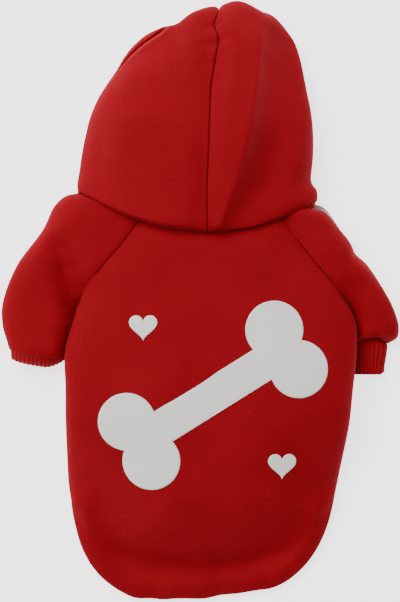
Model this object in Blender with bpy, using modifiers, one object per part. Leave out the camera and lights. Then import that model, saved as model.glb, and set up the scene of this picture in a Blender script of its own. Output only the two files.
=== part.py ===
"""Dog hoodie in thick sweatshirt fleece, lying on its belly with the back and the raised hood upward.

Metres, +Z up. +Y runs from the back hem to the hood, +X to the right as seen from above. The garment
is cut as the real one is: a back and a belly panel, two raglan sleeves with ribbed cuffs, two hood
panels that meet at a centre seam, a white film print on the back and a white tape at the neck.
Every cloth piece is an outer surface lofted through the sections of a short table, with a wall inside.
"""

import math
from collections import namedtuple

import bmesh
import bpy
import numpy as np
from mathutils.bvhtree import BVHTree

# Driving sizes.
BACK_LENGTH = 0.293  # nape seam to the lowest point of the back hem
CHEST_WIDTH = 0.216  # body, side to side, lying flat
CHEST_HEIGHT = 0.040  # body, floor to the top of the back
SLEEVE_WIDTH = 0.0525  # sleeve, shoulder edge to raglan seam or underarm
SLEEVE_HEIGHT = 0.030  # sleeve, floor to top, below the underarm
HOOD_LENGTH = 0.1495  # nape seam to the far end of the hood
HOOD_WIDTH = 0.177  # hood, side to side
HOOD_HEIGHT = 0.058  # hood, floor to crown
CUFF_LENGTH = 0.0230
CLOTH = 0.0024  # fleece wall
RIB_CLOTH = 0.0016  # rib-knit cuff wall
SEAM_GAP = 0.0003  # left between two pieces that are sewn together

# Sizes of the rounding and of the small forms.
SIDE_BEND = 0.022  # run over which the belly turns up into the side
SLEEVE_BEND = 0.010  # the same on a sleeve's outer edge
UNDERARM_BEND = 0.008
HOOD_BEND = 0.012  # run over which the hood's side turns under
SEAM_GROOVE = 0.0035  # depth of the hood's centre seam below the cloth beside it
GROOVE_RUN = 0.007
HEM_FLAT_LEFT = 4.4  # powers of the hem's rounded corners: how far the flat stretch reaches
HEM_FLAT_RIGHT = 2.85
HEM_CORNER = 1.5  # and how round the end is
BACK_ROUND = 2.9  # power of the body's section
SLEEVE_ROUND = 2.5
HOOD_ROUND = 2.3
LEFT_LOBE = 0.4  # the hood's left lobe stands out less than its right one
FOLD_END = 0.15  # share of a fold's length over which it dies out at each end
CUFF_HINGE = 0.0010  # radius at the crease of a cuff that is turned under
FILM = 0.0004  # thickness of the print
FILM_GAP = 0.0005
TAPE_THICK = 0.0008
TAPE_UNDER = 0.0045  # how far the neck tape lies under the shoulder edge
TAPE_SHOWS = 0.0034  # how far it stands out past the shoulder edge
TAPE_STATIONS = 1.5  # sleeve sections along which it runs
PRINT_HIGH = 0.152  # middle of the print, from the hem
PRINT_ACROSS = 0.004  # and to the right of the hem's middle
PRINT_LEAN = 32  # degrees by which the bone leans
BONE_LENGTH = 0.172
BONE_BAR = 0.013  # half the bar's width
BONE_KNOB = 0.0215  # radius of the knobs
KNOB_APART = 0.8  # how far a knob's middle lies beside the bone's middle line, in knob radii
HEART_BESIDE = 0.30  # how far each heart lies from the print's middle, each way, in bone lengths
HEART_SIZE = 0.021

# How many faces each surface has, across and along.
BACK_FACES = (22, 21)
BELLY_FACES = (18, 13)
SLEEVE_FACES = (22, 12)
HOOD_FACES = (16, 23)
CUFF_FACES = (22, 6)
TAPE_FACES = (2, 8)
BONE_FACES = (32, 6)
HEART_FACES = (22, 3)

# The body's sections, from the turned-in hem to the neck. Side, back and belly give how far up the
# row's ends and middle lie, as shares of BACK_LENGTH; left and right are shares of CHEST_WIDTH; crown
# and the two edges are heights, as shares of CHEST_HEIGHT; hem is 1 where the row is a rounded hem.
Body = namedtuple("Body", "side back belly left right crown back_edge belly_edge hem")
BODY = (
    Body(0.226, 0.038, 0.000, -0.455, 0.420, 0.29, 0.33, 0.33, 1.0),
    Body(0.223, 0.007, 0.000, -0.461, 0.425, 0.31, 0.35, 0.35, 1.0),
    Body(0.219, 0.000, 0.000, -0.465, 0.429, 0.39, 0.37, 0.37, 1.0),
    Body(0.240, 0.031, 0.327, -0.473, 0.438, 0.46, 0.38, 0.30, 0.9),
    Body(0.265, 0.080, 0.350, -0.478, 0.446, 0.54, 0.38, 0.30, 0.75),
    Body(0.304, 0.137, 0.377, -0.487, 0.458, 0.71, 0.38, 0.36, 0.6),
    Body(0.363, 0.227, 0.420, -0.490, 0.474, 0.89, 0.38, 0.38, 0.4),
    Body(0.446, 0.369, 0.476, -0.493, 0.495, 0.975, 0.38, 0.38, 0.2),
    Body(0.536, 0.503, 0.540, -0.493, 0.507, 1.00, 0.38, 0.38, 0.0),
    Body(0.626, 0.621, 0.622, -0.490, 0.519, 1.00, 0.39, 0.39, 0.0),
    Body(0.709, 0.724, 0.704, -0.458, 0.507, 0.99, 0.45, 0.45, 0.0),
    Body(0.786, 0.814, 0.776, -0.413, 0.450, 0.96, 0.69, 0.10, 0.0),
    Body(0.853, 0.884, 0.838, -0.354, 0.375, 0.935, 0.79, 0.00, 0.0),
    Body(0.910, 0.941, 0.884, -0.288, 0.313, 0.91, 0.81, 0.00, 0.0),
    Body(0.972, 1.000, 0.930, -0.226, 0.247, 0.875, 0.82, 0.00, 0.0),
)
HEM_ROW = 0
BELLY_HEM_ROW = 3
UNDERARM_ROW = 10
NECK_ROW = 14

# A sleeve's sections, from the neck to the cuff seam. Row is the body row where the inner edge lies;
# out and up lead from there to the shoulder edge, as shares of SLEEVE_WIDTH; the crown's height is a
# share of SLEEVE_HEIGHT and a share of the raglan seam's height; outer and inner are the heights of
# the two edges and lift that of the underside, as shares of SLEEVE_HEIGHT; apart is the inner edge's
# distance from the body's side, in metres, and is negative where the sleeve is tucked under it.
Sleeve = namedtuple("Sleeve", "row out up crown seam outer inner lift apart")
LEFT_SLEEVE = (
    Sleeve(14.0, 0.886, 0.305, 0.03, 1.0, 0.45, 0.60, 0.00, 0.0003),
    Sleeve(13.0, 0.943, 0.560, 0.04, 1.0, 0.45, 0.60, 0.00, 0.0003),
    Sleeve(12.0, 0.900, 0.471, 0.03, 1.0, 0.45, 0.60, 0.00, 0.0003),
    Sleeve(11.0, 0.975, 0.350, 0.15, 0.9, 0.45, 0.60, 0.00, 0.0004),
    Sleeve(10.0, 1.029, 0.257, 0.60, 0.4, 0.45, 0.58, 0.05, 0.0010),
    Sleeve(9.5, 0.957, 0.171, 0.88, 0.0, 0.50, 0.50, 0.26, 0.0006),
    Sleeve(9.12, 0.860, 0.140, 0.86, 0.0, 0.53, 0.52, 0.28, 0.0004),
    Sleeve(8.82, 0.790, 0.120, 0.80, 0.0, 0.53, 0.50, 0.28, 0.0004),
)
RIGHT_SLEEVE = (
    Sleeve(14.0, 0.500, 0.130, 0.03, 1.0, 0.45, 0.60, 0.00, 0.0003),
    Sleeve(13.0, 0.410, 0.402, 0.04, 1.0, 0.45, 0.60, 0.00, 0.0003),
    Sleeve(12.0, 0.495, 0.280, 0.03, 1.0, 0.45, 0.60, 0.00, 0.0003),
    Sleeve(11.0, 0.510, 0.235, 0.15, 0.9, 0.45, 0.60, 0.00, 0.0004),
    Sleeve(10.0, 0.586, 0.070, 0.55, 0.4, 0.45, 0.58, 0.00, 0.0010),
    Sleeve(9.65, 0.600, 0.075, 0.80, 0.0, 0.45, 0.32, 0.00, 0.0006),
    Sleeve(9.45, 0.600, 0.000, 0.70, 0.0, 0.38, 0.26, 0.00, -0.0006),
    Sleeve(9.26, 0.470, 0.000, 0.46, 0.0, 0.20, 0.20, 0.00, -0.0006),
)

# A cuff's sections past its sleeve. Along is the distance from the sleeve's end, as a share of
# CUFF_LENGTH; turn is how far the cuff is turned under there, in degrees; height and width shrink it.
Cuff = namedtuple("Cuff", "along turn height width")
LEFT_CUFF = (
    Cuff(0.0, 0, 1.0, 1.0),
    Cuff(0.0, 45, 0.70, 0.99),
    Cuff(0.0, 90, 0.50, 0.98),
    Cuff(0.0, 135, 0.43, 0.97),
    Cuff(0.0, 180, 0.40, 0.96),
    Cuff(0.3, 180, 0.40, 0.95),
    Cuff(0.6, 180, 0.40, 0.94),
)
RIGHT_CUFF = (
    Cuff(0.0, 0, 1.0, 1.0),
    Cuff(0.3, 0, 0.94, 0.97),
    Cuff(0.6, 0, 0.88, 0.96),
    Cuff(1.0, 0, 0.80, 0.95),
)

# The hood's sections, from the nape seam, back over the collar roll, up the crown and under the far
# end. Seam is how far the centre seam lies past the neck, as a share of HOOD_LENGTH; its height is a
# share of the nape's and a share of HOOD_HEIGHT; left, right and the two reaches place the widest
# points, as shares of HOOD_WIDTH and HOOD_LENGTH; edge is their height, as a share of HOOD_HEIGHT;
# tuck is how far the face opening's rim lies inside them, as a share of HOOD_WIDTH, and rim how far
# up; lobe stands the cloth out between the seam and the widest point.
Hood = namedtuple("Hood", "seam nape top left left_reach right right_reach edge tuck rim lobe")
HOOD = (
    Hood(0.030, 1.0, 0.02, -0.540, 0.061, 0.453, -0.004, 0.24, 0.430, 0.000, 0.0),
    Hood(0.032, 1.0, 0.065, -0.542, 0.066, 0.456, 0.001, 0.24, 0.360, 0.010, 0.0),
    Hood(-0.035, 1.0, 0.080, -0.544, 0.071, 0.458, 0.007, 0.24, 0.290, 0.020, 0.0),
    Hood(-0.108, 1.0, 0.130, -0.546, 0.078, 0.462, 0.018, 0.25, 0.220, 0.033, 0.0),
    Hood(-0.134, 0.9, 0.290, -0.548, 0.086, 0.469, 0.034, 0.25, 0.165, 0.048, 0.0),
    Hood(-0.102, 0.0, 0.950, -0.549, 0.097, 0.466, 0.080, 0.25, 0.120, 0.075, 0.0),
    Hood(0.005, 0.0, 1.000, -0.547, 0.145, 0.443, 0.132, 0.25, 0.095, 0.130, 0.0),
    Hood(0.183, 0.0, 0.980, -0.532, 0.265, 0.450, 0.255, 0.25, 0.085, 0.260, 0.0),
    Hood(0.386, 0.0, 0.915, -0.504, 0.420, 0.445, 0.440, 0.24, 0.085, 0.420, 0.0),
    Hood(0.589, 0.0, 0.830, -0.456, 0.563, 0.424, 0.590, 0.23, 0.085, 0.560, 0.0),
    Hood(0.766, 0.0, 0.725, -0.388, 0.685, 0.401, 0.710, 0.21, 0.082, 0.670, 0.0),
    Hood(0.893, 0.0, 0.600, -0.328, 0.792, 0.368, 0.833, 0.19, 0.078, 0.740, 0.0),
    Hood(0.965, 0.0, 0.465, -0.250, 0.868, 0.310, 0.925, 0.17, 0.060, 0.800, 0.02),
    Hood(0.993, 0.0, 0.300, -0.142, 0.903, 0.260, 0.970, 0.13, 0.030, 0.840, 0.035),
    Hood(0.985, 0.0, 0.130, -0.100, 0.925, 0.215, 0.970, 0.05, 0.000, 0.865, 0.03),
    Hood(0.905, 0.0, 0.010, -0.050, 0.905, 0.170, 0.905, 0.00, -0.035, 0.880, 0.0),
)
SEAM_LEAN = 0.051  # how far the hood's seam drifts to the right at the far end, share of HOOD_WIDTH
SIDE_COLUMN = 0.75  # share of a hood row that lies between the seam and the widest point

# Folds that step down: beyond the line, on the left of the way from its start to its end, the cloth
# lies lower by the drop, reached over the run, for a width counted in runs. Across is in shares of
# HOOD_WIDTH, along in shares of HOOD_LENGTH.
Fold = namedtuple("Fold", "start_across start_along end_across end_along drop run width")
HOOD_FOLDS = (
    Fold(0.205, 1.00, 0.090, -0.10, 0.0085, 0.020, 2.2),
    Fold(-0.10, -0.06, -0.50, 0.50, 0.0070, 0.034, 2.2),
    Fold(-0.420, 0.67, -0.110, 0.955, 0.0130, 0.008, 20.0),
)


def smooth(rows, name, at):
    """A table's column at a row number that may lie between two rows, on a smooth curve through them."""
    values = [getattr(row, name) for row in rows]
    last = len(values) - 1
    low = min(max(int(math.floor(at)), 0), last - 1)
    a, b = values[low], values[low + 1]
    before = values[low - 1] if low > 0 else 2 * a - b
    after = values[low + 2] if low + 2 <= last else 2 * b - a
    t = at - low
    slope_a, slope_b = (b - before) / 2, (after - a) / 2
    return (
        (2 * t**3 - 3 * t**2 + 1) * a
        + (t**3 - 2 * t**2 + t) * slope_a
        + (3 * t**2 - 2 * t**3) * b
        + (t**3 - t**2) * slope_b
    )


def rounded(t, power, corner=None):
    """1 in the middle, falling to 0 at t = 1 as a rounded corner does."""
    return max(0.0, 1 - abs(t) ** power) ** (1 / (corner or power))


def turned_up(inside, bend):
    """Height share of a floor that turns up to 1 at its edge: inside is the distance from the edge."""
    reach = min(max((bend - inside) / bend, 0.0), 1.0)
    return 1 - math.sqrt(1 - reach * reach)


def ease(t):
    """0 to 1 with level ends."""
    t = min(max(t, 0.0), 1.0)
    return t * t * (3 - 2 * t)


def across_share(even):
    """Evenly spaced columns from -1 to 1, moved together a little at the two edges."""
    return 0.35 * even + 0.65 * math.sin(math.pi / 2 * even)


def body_edge(row, side):
    """Plan position of the body's left (-1) or right (1) edge, at the side seam or the raglan seam."""
    across = smooth(BODY, "left" if side < 0 else "right", row) * CHEST_WIDTH
    return across, smooth(BODY, "side", row) * BACK_LENGTH


def body_plan(row, t, middle):
    """Plan position on a body row: t runs from -1 at the left edge to 1 at the right one."""
    left, along = body_edge(row, -1)
    right, _ = body_edge(row, 1)
    hem = min(max(smooth(BODY, "hem", row), 0.0), 1.0)
    corner = rounded(t, HEM_FLAT_LEFT if t < 0 else HEM_FLAT_RIGHT, HEM_CORNER)
    bow = hem * corner + (1 - hem) * (1 - t * t)
    x = (left + right) / 2 + t * (right - left) / 2
    return x, along + (smooth(BODY, middle, row) * BACK_LENGTH - along) * bow


def back_point(t, row):
    """A point on the outside of the back panel."""
    x, y = body_plan(row, t, "back")
    edge = smooth(BODY, "back_edge", row) * CHEST_HEIGHT
    crown = smooth(BODY, "crown", row) * CHEST_HEIGHT
    return x, y, edge + (crown - edge) * rounded(t, BACK_ROUND)


def belly_point(t, row):
    """A point on the outside of the belly panel, which lies flat on the floor."""
    x, y = body_plan(row, t, "belly")
    left, _ = body_edge(row, -1)
    right, _ = body_edge(row, 1)
    edge = max(min(smooth(BODY, "belly_edge", row), smooth(BODY, "back_edge", row)), 0.0) * CHEST_HEIGHT
    return x, y, edge * turned_up(min(x - left, right - x), SIDE_BEND)


def sleeve_point(sections, side, u, station):
    """A point on the outside of a sleeve: u runs from the back raglan over the shoulder edge, at 0.5,
    and along the underside to the front raglan. Below the underarm the two raglans are one line."""
    row = smooth(sections, "row", station)
    x_in, y_in = body_edge(row, side)
    x_in += side * smooth(sections, "apart", station)
    x_out = x_in + side * smooth(sections, "out", station) * SLEEVE_WIDTH
    y_out = y_in + smooth(sections, "up", station) * SLEEVE_WIDTH
    raglan = smooth(BODY, "back_edge", row) * CHEST_HEIGHT
    front = max(smooth(BODY, "belly_edge", row), 0.0) * CHEST_HEIGHT
    crown = smooth(sections, "crown", station) * SLEEVE_HEIGHT + smooth(sections, "seam", station) * raglan
    outer = smooth(sections, "outer", station) * SLEEVE_HEIGHT
    inner = smooth(sections, "inner", station) * SLEEVE_HEIGHT
    lift = max(smooth(sections, "lift", station), 0.0) * SLEEVE_HEIGHT
    opened = ease(row - UNDERARM_ROW)
    upper_in = inner + (raglan - inner) * opened
    lower_in = inner + (front - inner) * opened
    over = u <= 0.5
    t = math.cos(2 * math.pi * u)  # 1 at the inner edge, -1 at the shoulder edge
    width = math.hypot(x_out - x_in, y_out - y_in)
    share = (t + 1) / 2
    x, y = x_out + (x_in - x_out) * share, y_out + (y_in - y_out) * share
    if over and t < 0:
        z = outer + (crown - outer) * rounded(t, SLEEVE_ROUND)
    elif over:
        z = upper_in + (crown - upper_in) * (1 - t**3)
    else:
        at_shoulder = turned_up(width * share, SLEEVE_BEND) * (outer - lift)
        at_inner = turned_up(width * (1 - share), UNDERARM_BEND) * max(lower_in - lift, 0.0)
        z = lift + at_shoulder + at_inner
    return x, y, z


def neck_point(side, share):
    """A point on the neck ring, from the nape over the shoulder, at SIDE_COLUMN, to the throat."""
    sections = LEFT_SLEEVE if side < 0 else RIGHT_SLEEVE
    if share < SIDE_COLUMN / 2:
        return back_point(side * share / (SIDE_COLUMN / 2), NECK_ROW)
    if share < SIDE_COLUMN:
        return sleeve_point(sections, side, share / SIDE_COLUMN - 0.5, 0)
    under = (share - SIDE_COLUMN) / (1 - SIDE_COLUMN)
    if under < 0.5:
        return sleeve_point(sections, side, 0.5 + under, 0)
    return belly_point(side * (2 - 2 * under), NECK_ROW)


def folded_down(x, y):
    """How much lower the hood's cloth lies there because of its folds."""
    total = 0.0
    for fold in HOOD_FOLDS:
        start = np.array((fold.start_across * HOOD_WIDTH, fold.start_along * HOOD_LENGTH + BACK_LENGTH))
        end = np.array((fold.end_across * HOOD_WIDTH, fold.end_along * HOOD_LENGTH + BACK_LENGTH))
        line = end - start
        length = float(np.linalg.norm(line))
        line /= length
        offset = np.array((x, y)) - start
        along = float(offset @ line) / length
        beyond = float(offset[0] * -line[1] + offset[1] * line[0])
        fade = ease(along / FOLD_END) * ease((1 - along) / FOLD_END)
        total += fold.drop * fade * ease(beyond / fold.run) * ease(fold.width - beyond / fold.run)
    return total


def hood_point(side, u, v):
    """A point on the outside of a hood panel: u from the centre seam to the face opening, v in rows."""
    nape_height = BODY[NECK_ROW].crown * CHEST_HEIGHT
    seam_height = smooth(HOOD, "nape", v) * nape_height + smooth(HOOD, "top", v) * HOOD_HEIGHT
    lean = SEAM_LEAN * ease(smooth(HOOD, "seam", v)) * HOOD_WIDTH
    wide = smooth(HOOD, "left" if side < 0 else "right", v) * HOOD_WIDTH
    reach = smooth(HOOD, "left_reach" if side < 0 else "right_reach", v) * HOOD_LENGTH + BACK_LENGTH
    seam_along = smooth(HOOD, "seam", v) * HOOD_LENGTH + BACK_LENGTH
    edge = max(smooth(HOOD, "edge", v), 0.0) * HOOD_HEIGHT
    lobe = smooth(HOOD, "lobe", v) * HOOD_LENGTH * (LEFT_LOBE if side < 0 else 1.0)
    if u <= SIDE_COLUMN:
        t = math.sin(math.pi / 2 * u / SIDE_COLUMN)
        x = lean + (wide - lean) * t
        y = seam_along + (reach - seam_along) * t**1.5 + lobe * math.sin(math.pi * min(t * 1.15, 1))
        round_over = rounded(t, HOOD_ROUND)
        rise = (seam_height - edge) * round_over
        high = ease(1 - smooth(HOOD, "nape", v)) * ease(smooth(HOOD, "top", v) / 0.5)
        groove = SEAM_GROOVE * (1 - math.exp(-(((x - lean) / GROOVE_RUN) ** 2)))
        rise += high * (groove * round_over - folded_down(x, y) * min(1.0, 2 * round_over))
        return x, y, edge + max(rise, 0.0) if seam_height > edge else edge + rise
    under = (u - SIDE_COLUMN) / (1 - SIDE_COLUMN)
    tuck = smooth(HOOD, "tuck", v) * HOOD_WIDTH
    rim = smooth(HOOD, "rim", v) * HOOD_LENGTH + BACK_LENGTH
    inward = tuck * under**1.3
    y = reach + (rim - reach) * under
    z = edge * turned_up(inward, min(HOOD_BEND, max(0.7 * tuck, 0.001)))
    return wide - side * inward, y, z


def material(name, colour, roughness):
    """A cloth finish, in the photo's own colour."""
    made = bpy.data.materials.new(name)
    made.use_nodes = True
    shader = made.node_tree.nodes["Principled BSDF"]
    shader.inputs["Base Color"].default_value = (*colour, 1)
    shader.inputs["Roughness"].default_value = roughness
    shader.inputs["Metallic"].default_value = 0
    return made


def sheet(name, faces, place, finish, flip=False, weld=False):
    """A grid of cloth whose points are placed by place(u, v), with u and v from 0 to 1. Each vertex
    keeps a mark of the grid's edge that it lies on: 1 first row, 2 last row, 3 first column, 4 last."""
    bpy.ops.mesh.primitive_grid_add(x_subdivisions=faces[0], y_subdivisions=faces[1], size=1)
    made = bpy.context.object
    made.name = made.data.name = name
    shape = bmesh.new()
    shape.from_mesh(made.data)
    mark = shape.verts.layers.int.new("cut_edge")
    for vertex in shape.verts:
        u, v = vertex.co.x + 0.5, vertex.co.y + 0.5
        ends = (v < 0.001, v > 0.999, u < 0.001, u > 0.999)
        vertex[mark] = ends.index(True) + 1 if any(ends) else 0
        vertex.co = place(u, v)
    if weld:
        bmesh.ops.remove_doubles(shape, verts=shape.verts, dist=0.00001)
    if flip:
        bmesh.ops.reverse_faces(shape, faces=shape.faces)
    shape.to_mesh(made.data)
    shape.free()
    made.data.materials.append(finish)
    made.data.shade_smooth()
    return made


def give_wall(made, thickness, square):
    """Thickens a sheet inwards from its outside surface. Square names, for a marked edge, the axis
    (0 X, 1 Y, 2 Z) along which the wall's two sides end at the same place, so that pieces sewn
    together there meet edge to edge. Cloth that lies flat along that edge keeps its plain edge."""
    outside = len(made.data.vertices)
    wall = made.modifiers.new("wall", "SOLIDIFY")
    wall.thickness = thickness
    wall.offset = -1
    wall.use_quality_normals = True
    bpy.context.view_layer.objects.active = made
    bpy.ops.object.modifier_apply(modifier=wall.name)
    marks = made.data.attributes["cut_edge"].data
    points = made.data.vertices
    for index in range(outside):
        axis = square.get(marks[index].value)
        if axis is None:
            continue
        outer, inner = points[index].co, points[index + outside].co
        if axis < 2 or abs(inner.z - outer.z) < 0.75 * thickness:
            inner[axis] = outer[axis]
    made.data.attributes.remove(made.data.attributes["cut_edge"])
    thin_tight_folds(made, outside)


def thin_tight_folds(made, outside):
    """Thins the wall where the cloth is bent tighter than it is thick, so that it never crosses itself."""
    points = made.data.vertices
    for _ in range(20):
        faces = [face.vertices for face in made.data.polygons]
        tree = BVHTree.FromPolygons([point.co for point in points], faces)
        tight = set()
        for first, second in tree.overlap(tree):
            if not set(faces[first]) & set(faces[second]):
                tight.update(index for index in (*faces[first], *faces[second]) if index >= outside)
        if not tight:
            break
        for index in tight:
            points[index].co = points[index].co.lerp(points[index - outside].co, 0.2)


def make_back(finish):
    """The back panel, from its turned-in hem to the nape."""

    def place(u, v):
        t = across_share(2 * u - 1)
        x, y, z = back_point(t, HEM_ROW + v * (NECK_ROW - HEM_ROW))
        return x, y, z + SEAM_GAP / 2 * abs(t) ** 12

    back = sheet("back_panel", BACK_FACES, place, finish)
    give_wall(back, CLOTH, {2: 1, 3: 2, 4: 2})
    return back


def make_belly(finish):
    """The belly panel, cut shorter than the back as it is for a dog."""

    def place(u, v):
        t = across_share(1 - 2 * u)
        x, y, z = belly_point(t, BELLY_HEM_ROW + v * (NECK_ROW - BELLY_HEM_ROW))
        return x, y, z - min(SEAM_GAP / 2 * abs(t) ** 12, z)

    belly = sheet("belly_panel", BELLY_FACES, place, finish)
    give_wall(belly, CLOTH, {2: 1, 3: 2, 4: 2})
    return belly


def make_sleeve(name, sections, side, finish):
    """A raglan sleeve: one cloth, closed below the underarm and open to the body above it."""
    last = len(sections) - 1

    def place(u, v):
        return sleeve_point(sections, side, u, v * last)

    sleeve = sheet(name, SLEEVE_FACES, place, finish, flip=side > 0, weld=True)
    give_wall(sleeve, CLOTH, {1: 1})
    return sleeve


def make_hood(name, side, finish):
    """One of the hood's two panels, from the neck seam to the face opening."""
    last = len(HOOD) - 1

    def place(u, v):
        row = v * (last + 1) - 1
        clear = side * SEAM_GAP / 2 if u < 0.001 else 0.0
        if row >= 0:
            x, y, z = hood_point(side, u, row)
            return x + clear, y, z
        x, y, z = neck_point(side, u)
        ring = np.array((x + clear, y + SEAM_GAP, z))
        x, y, z = hood_point(side, u, 0)
        first = np.array((x + clear, y, z))
        return tuple(ring + (first - ring) * (row + 1))

    hood = sheet(name, HOOD_FACES, place, finish, flip=side < 0)
    give_wall(hood, CLOTH, {1: 1, 3: 0})
    return hood


def cuff_point(sleeve, cuff, side, u, station):
    """A point on the outside of a cuff, whose first section is the sleeve's end."""
    last = len(sleeve) - 1
    floor = max(sleeve[last].lift, 0.0) * SLEEVE_HEIGHT
    x, y, z = sleeve_point(sleeve, side, u, last)
    inner, _ = body_edge(sleeve[last].row, side)
    middle = inner + side * (sleeve[last].apart + sleeve[last].out * SLEEVE_WIDTH / 2)
    turn = math.radians(smooth(cuff, "turn", station))
    along = smooth(cuff, "along", station) * CUFF_LENGTH + SEAM_GAP * math.cos(turn)
    hinge = CUFF_HINGE if any(row.turn for row in cuff) else 0.0
    high = hinge + (z - floor) * smooth(cuff, "height", station)
    return (
        middle + (x - middle) * smooth(cuff, "width", station),
        y - along * math.cos(turn) - high * math.sin(turn),
        floor - hinge + high * math.cos(turn) - along * math.sin(turn),
    )


def make_cuff(name, sleeve, cuff, side, finish):
    """A rib-knit cuff sewn to the end of its sleeve."""
    last = len(cuff) - 1

    def place(u, v):
        return cuff_point(sleeve, cuff, side, u, v * last)

    made = sheet(name, CUFF_FACES, place, finish, flip=side > 0, weld=True)
    give_wall(made, RIB_CLOTH, {1: 1})
    return made


def make_tape(finish):
    """The white tape at the neck, which lies under the right shoulder edge and shows past it."""

    def place(u, v):
        station = 0.25 + v * TAPE_STATIONS
        here = np.array(sleeve_point(RIGHT_SLEEVE, 1, 0.5, station)[:2])
        ahead = np.array(sleeve_point(RIGHT_SLEEVE, 1, 0.5, station + 0.1)[:2])
        way = (ahead - here) / np.linalg.norm(ahead - here)
        outward = np.array((-way[1], way[0]))
        under = TAPE_UNDER * min(0.6 + 1.2 * v, 1.0)
        reach = (TAPE_SHOWS * (1 - v) ** 0.8 + under) * u - under
        x, y = here + outward * reach
        return x, y, SEAM_GAP + TAPE_THICK

    tape = sheet("neck_tape", TAPE_FACES, place, finish, flip=True)
    give_wall(tape, TAPE_THICK, {})
    return tape


def bone_outline(u, v):
    """Plan position in a bone that lies along X: u runs across it and v from knobs to knobs."""
    centre = BONE_LENGTH / 2 - BONE_KNOB
    apart = KNOB_APART * BONE_KNOB
    along = abs(2 * v - 1) * BONE_LENGTH / 2
    knob = max(BONE_KNOB**2 - (along - centre) ** 2, 0.0) ** 0.5
    half = max(BONE_BAR, apart + knob if knob > 0 else 0.0)
    across = (2 * u - 1) * half
    end = centre + max(BONE_KNOB**2 - (min(abs(across), apart + BONE_KNOB) - apart) ** 2, 0.0) ** 0.5
    share = ease((along - centre) / BONE_KNOB)
    along *= 1 - share + share * end / (BONE_LENGTH / 2)
    return math.copysign(along, v - 0.5), across


def heart_outline(u, v):
    """Plan position in a heart: u runs round it and v from its middle to its edge."""
    a = 2 * math.pi * u
    x = 16 * math.sin(a) ** 3
    y = 13 * math.cos(a) - 5 * math.cos(2 * a) - 2 * math.cos(3 * a) - math.cos(4 * a)
    return x * v * HEART_SIZE / 32, y * v * HEART_SIZE / 32


def make_print(name, faces, outline, middle, lean, surface, finish, flip=False):
    """A flat film motif that lies on the back panel."""
    turn = math.radians(lean)

    def place(u, v):
        x, y = outline(u, v)
        x, y = x * math.cos(turn) - y * math.sin(turn), x * math.sin(turn) + y * math.cos(turn)
        x, y = x + middle[0], y + middle[1]
        hit, _, _, _ = surface.ray_cast((x, y, 1.0), (0, 0, -1))
        return x, y, hit.z + FILM_GAP + FILM

    film = sheet(name, faces, place, finish, flip=flip, weld=True)
    give_wall(film, FILM, {})
    return film


def main():
    for old in list(bpy.data.objects):
        bpy.data.objects.remove(old)
    fleece = material("red_fleece", (0.37, 0.006, 0.009), 0.9)
    rib = material("red_rib", (0.30, 0.005, 0.008), 0.95)
    white_film = material("white_film", (0.65, 0.65, 0.64), 0.5)
    white_tape = material("white_tape", (0.75, 0.75, 0.74), 0.8)
    back = make_back(fleece)
    surface = BVHTree.FromPolygons([v.co for v in back.data.vertices], [f.vertices for f in back.data.polygons])
    middle = (PRINT_ACROSS, PRINT_HIGH)
    beside = BONE_LENGTH * HEART_BESIDE
    pieces = [
        back,
        make_belly(fleece),
        make_sleeve("sleeve_left", LEFT_SLEEVE, -1, fleece),
        make_sleeve("sleeve_right", RIGHT_SLEEVE, 1, fleece),
        make_cuff("cuff_left", LEFT_SLEEVE, LEFT_CUFF, -1, rib),
        make_cuff("cuff_right", RIGHT_SLEEVE, RIGHT_CUFF, 1, rib),
        make_hood("hood_left", -1, fleece),
        make_hood("hood_right", 1, fleece),
        make_tape(white_tape),
        make_print("print_bone", BONE_FACES[::-1], bone_outline, middle, PRINT_LEAN, surface, white_film),
    ]
    for name, side in (("print_heart_left", -1), ("print_heart_right", 1)):
        place = (middle[0] + side * beside, middle[1] - side * beside)
        pieces.append(make_print(name, HEART_FACES, heart_outline, place, 0, surface, white_film, True))
    centre_on_floor(pieces)


def centre_on_floor(pieces):
    """Hangs the pieces on an empty that brings the middle of their box to the origin, on the floor."""
    corners = np.array([tuple(v.co) for piece in pieces for v in piece.data.vertices])
    low, high = corners.min(axis=0), corners.max(axis=0)
    group = bpy.data.collections.new("dog_hoodie")
    bpy.context.scene.collection.children.link(group)
    holder = bpy.data.objects.new("garment_middle", None)
    holder.location = (-(low[0] + high[0]) / 2, -(low[1] + high[1]) / 2, -low[2])
    group.objects.link(holder)
    for piece in pieces:
        for owner in list(piece.users_collection):
            owner.objects.unlink(piece)
        group.objects.link(piece)
        piece.parent = holder


main()
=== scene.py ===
import math
from collections import namedtuple

import bmesh
import bpy
import numpy as np
from mathutils.bvhtree import BVHTree
from mathutils.geometry import delaunay_2d_cdt
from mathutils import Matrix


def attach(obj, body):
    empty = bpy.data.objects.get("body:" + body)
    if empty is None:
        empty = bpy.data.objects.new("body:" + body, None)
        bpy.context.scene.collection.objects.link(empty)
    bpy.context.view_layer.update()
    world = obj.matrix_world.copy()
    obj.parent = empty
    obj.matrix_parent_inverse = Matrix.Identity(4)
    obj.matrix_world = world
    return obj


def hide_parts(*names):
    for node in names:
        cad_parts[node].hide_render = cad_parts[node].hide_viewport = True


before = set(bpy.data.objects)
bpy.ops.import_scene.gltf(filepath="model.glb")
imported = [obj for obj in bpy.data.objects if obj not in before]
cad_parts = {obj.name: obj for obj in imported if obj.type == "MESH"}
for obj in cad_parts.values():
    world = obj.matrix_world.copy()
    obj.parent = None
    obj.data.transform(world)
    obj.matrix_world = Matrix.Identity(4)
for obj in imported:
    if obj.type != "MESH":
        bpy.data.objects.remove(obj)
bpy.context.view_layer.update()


# Back panel. The garment's main piece: red sweatshirt knit with a brushed inside, cut round at the
# hem, whose edge is turned in. It lies over the body's hollow and falls to a seam at each side.
BACK_LENGTH = 0.293
CHEST_WIDTH = 0.216
CHEST_HEIGHT = 0.040
CLOTH = 0.0024  # thickness
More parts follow.
